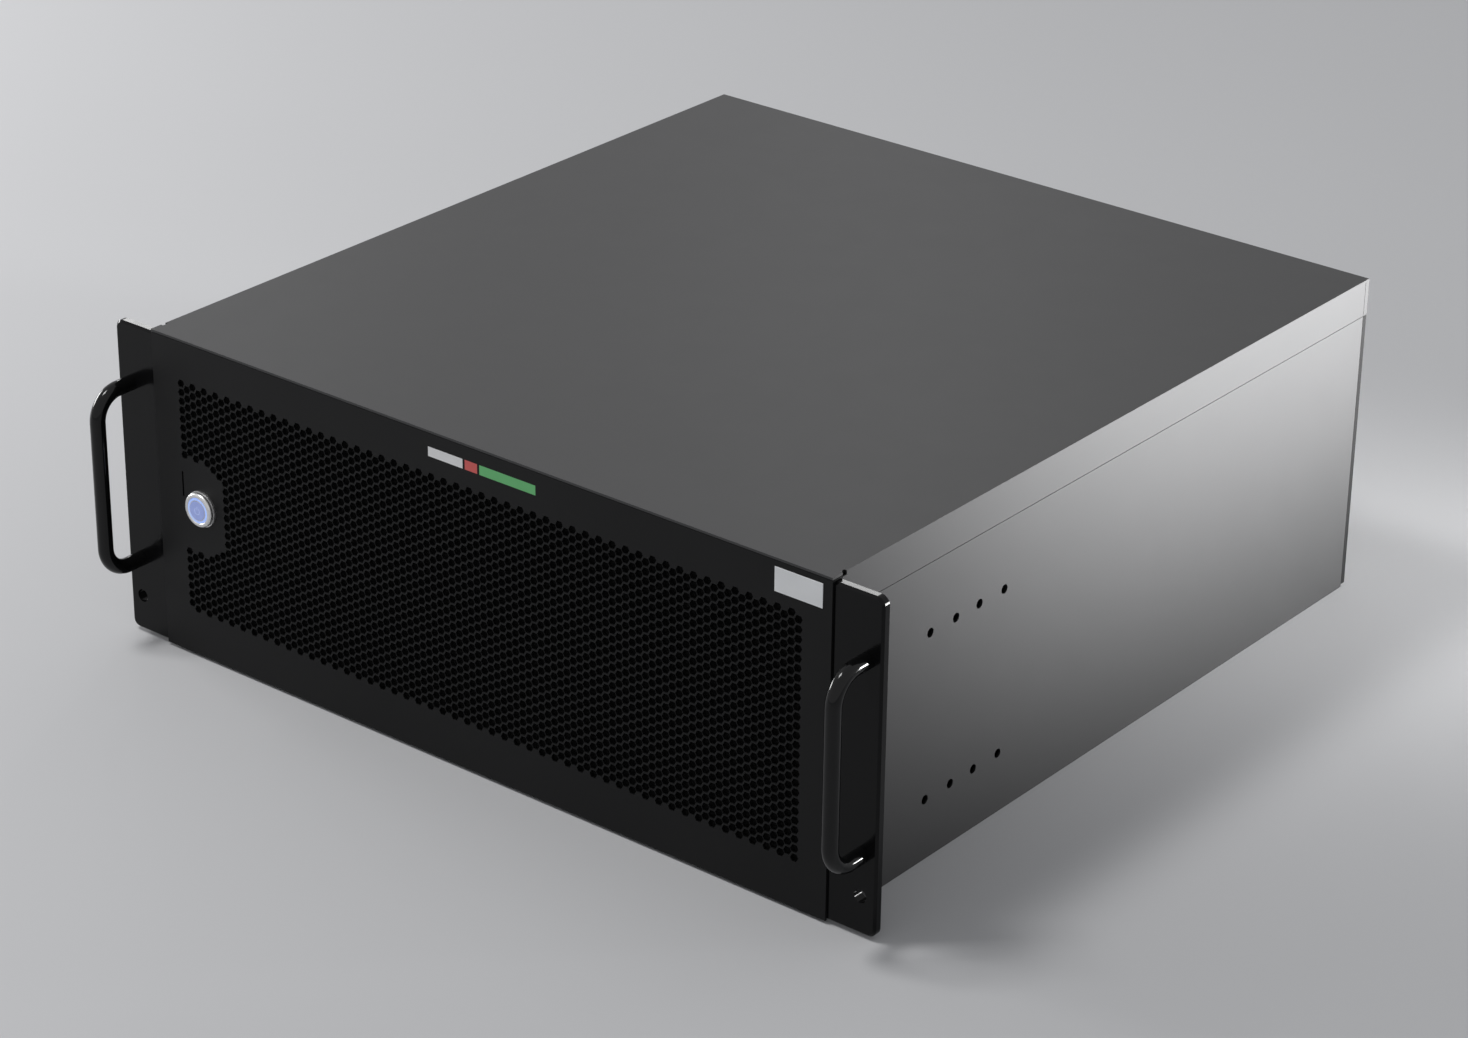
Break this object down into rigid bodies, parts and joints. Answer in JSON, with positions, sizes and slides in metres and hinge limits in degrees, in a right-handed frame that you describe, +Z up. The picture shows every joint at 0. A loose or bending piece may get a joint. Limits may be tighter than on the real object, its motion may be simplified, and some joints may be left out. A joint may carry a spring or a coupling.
{
  "type": "rack server",
  "caption": "Rack-mounted steel computer case with perforated front, rack ears, bow handles, sliding cover and hot-swap power supplies.",
  "frame": {"origin": "middle of the overall footprint, on the surface that the floor rests on", "axes": "+Z up, +X to the right and +Y to the back, seen from the front panel"},
  "size_m": [0.4826, 0.5001, 0.176],
  "materials": {
    "black_sheet": "satin",
    "ear_plate": "satin",
    "black_gloss": "gloss",
    "zinc_sheet": "satin",
    "stainless": "satin",
    "lit_ring": "gloss",
    "filter_foam": "matte",
    "black_plastic": "matte",
    "latch_plastic": "matte",
    "circuit_board": "satin",
    "bare_aluminium": "satin"
  },
  "bodies": {
    "chassis": {"board_power_sockets": "black_plastic", "board_standoffs": "zinc_sheet", "button_housing": "stainless", "button_nut": "stainless", "button_ring": "lit_ring", "card_1_board": "circuit_board", "card_1_bracket": "zinc_sheet", "card_1_cooler": "bare_aluminium", "card_2_board": "circuit_board", "card_2_bracket": "zinc_sheet", "card_2_cooler": "bare_aluminium", "card_3_board": "circuit_board", "card_3_bracket": "zinc_sheet", "card_3_cooler": "bare_aluminium", "card_4_board": "circuit_board", "card_4_bracket": "zinc_sheet", "card_4_cooler": "bare_aluminium", "card_support": "zinc_sheet", "chassis_tray": "black_sheet", "drive_cage": "zinc_sheet", "drives": "bare_aluminium", "dust_filter": "filter_foam", "ear_screws": "zinc_sheet", "expansion_slots": "black_plastic", "fan_frame_left": "black_plastic", "fan_frame_middle": "black_plastic", "fan_frame_right": "black_plastic", "fan_wall": "zinc_sheet", "filter_frame": "black_plastic", "front_panel": "black_sheet", "heatsink": "bare_aluminium", "left_ear": "ear_plate", "left_handle": "black_gloss", "memory_modules": "circuit_board", "memory_slots": "black_plastic", "motherboard": "circuit_board", "port_shield": "zinc_sheet", "power_board": "circuit_board", "processor": "bare_aluminium", "processor_socket": "black_plastic", "rear_panel": "black_sheet", "rear_ports": "bare_aluminium", "right_ear": "ear_plate", "right_handle": "black_gloss", "slot_screws": "zinc_sheet", "supply_cage": "zinc_sheet"},
    "cover": {"top_cover": "black_sheet", "thumb_screws": "zinc_sheet"},
    "button": {"button_cap": "stainless"},
    "fan_left": {"fan_rotor_left": "black_plastic"},
    "fan_middle": {"fan_rotor_middle": "black_plastic"},
    "fan_right": {"fan_rotor_right": "black_plastic"},
    "supply_lower": {"supply_lower_case": "zinc_sheet", "supply_lower_pull": "black_plastic"},
    "latch_lower": {"supply_lower_latch": "latch_plastic"},
    "supply_lower_fan": {"supply_lower_rotor": "black_plastic"},
    "supply_upper": {"supply_upper_case": "zinc_sheet", "supply_upper_pull": "black_plastic"},
    "latch_upper": {"supply_upper_latch": "latch_plastic"},
    "supply_upper_fan": {"supply_upper_rotor": "black_plastic"}
  },
  "joints": [
    {"name": "cover_slide", "type": "slide", "parent": "chassis", "child": "cover", "axis": [0, 1, 0], "range_m": [0, 0.3]},
    {"name": "button_press", "type": "slide", "parent": "chassis", "child": "button", "axis": [0, 1, 0], "range_m": [0, 0.0018], "stiffness_N_per_m": 800, "springref_m": -0.002},
    {"name": "fan_left_spin", "type": "hinge", "parent": "chassis", "child": "fan_left", "pos_m": [-0.124, -0.17525, 0.088], "axis": [0, 1, 0], "continuous": true},
    {"name": "fan_middle_spin", "type": "hinge", "parent": "chassis", "child": "fan_middle", "pos_m": [0, -0.17525, 0.088], "axis": [0, 1, 0], "continuous": true},
    {"name": "fan_right_spin", "type": "hinge", "parent": "chassis", "child": "fan_right", "pos_m": [0.124, -0.17525, 0.088], "axis": [0, 1, 0], "continuous": true},
    {"name": "supply_lower_slide", "type": "slide", "parent": "chassis", "child": "supply_lower", "axis": [0, 1, 0], "range_m": [0, 0.19]},
    {"name": "latch_lower_press", "type": "hinge", "parent": "supply_lower", "child": "latch_lower", "pos_m": [-0.1915, 0.22005, 0.0371], "axis": [1, 0, 0], "range_deg": [0, 8], "stiffness_Nm_per_rad": 0.2, "springref_deg": -5.73},
    {"name": "supply_lower_fan_spin", "type": "hinge", "parent": "supply_lower", "child": "supply_lower_fan", "pos_m": [-0.1545, 0.21805, 0.0226], "axis": [0, 1, 0], "continuous": true},
    {"name": "supply_upper_slide", "type": "slide", "parent": "chassis", "child": "supply_upper", "axis": [0, 1, 0], "range_m": [0, 0.19]},
    {"name": "latch_upper_press", "type": "hinge", "parent": "supply_upper", "child": "latch_upper", "pos_m": [-0.1915, 0.22005, 0.0789], "axis": [1, 0, 0], "range_deg": [0, 8], "stiffness_Nm_per_rad": 0.2, "springref_deg": -5.73},
    {"name": "supply_upper_fan_spin", "type": "hinge", "parent": "supply_upper", "child": "supply_upper_fan", "pos_m": [-0.1545, 0.21805, 0.0644], "axis": [0, 1, 0], "continuous": true}
  ]
}
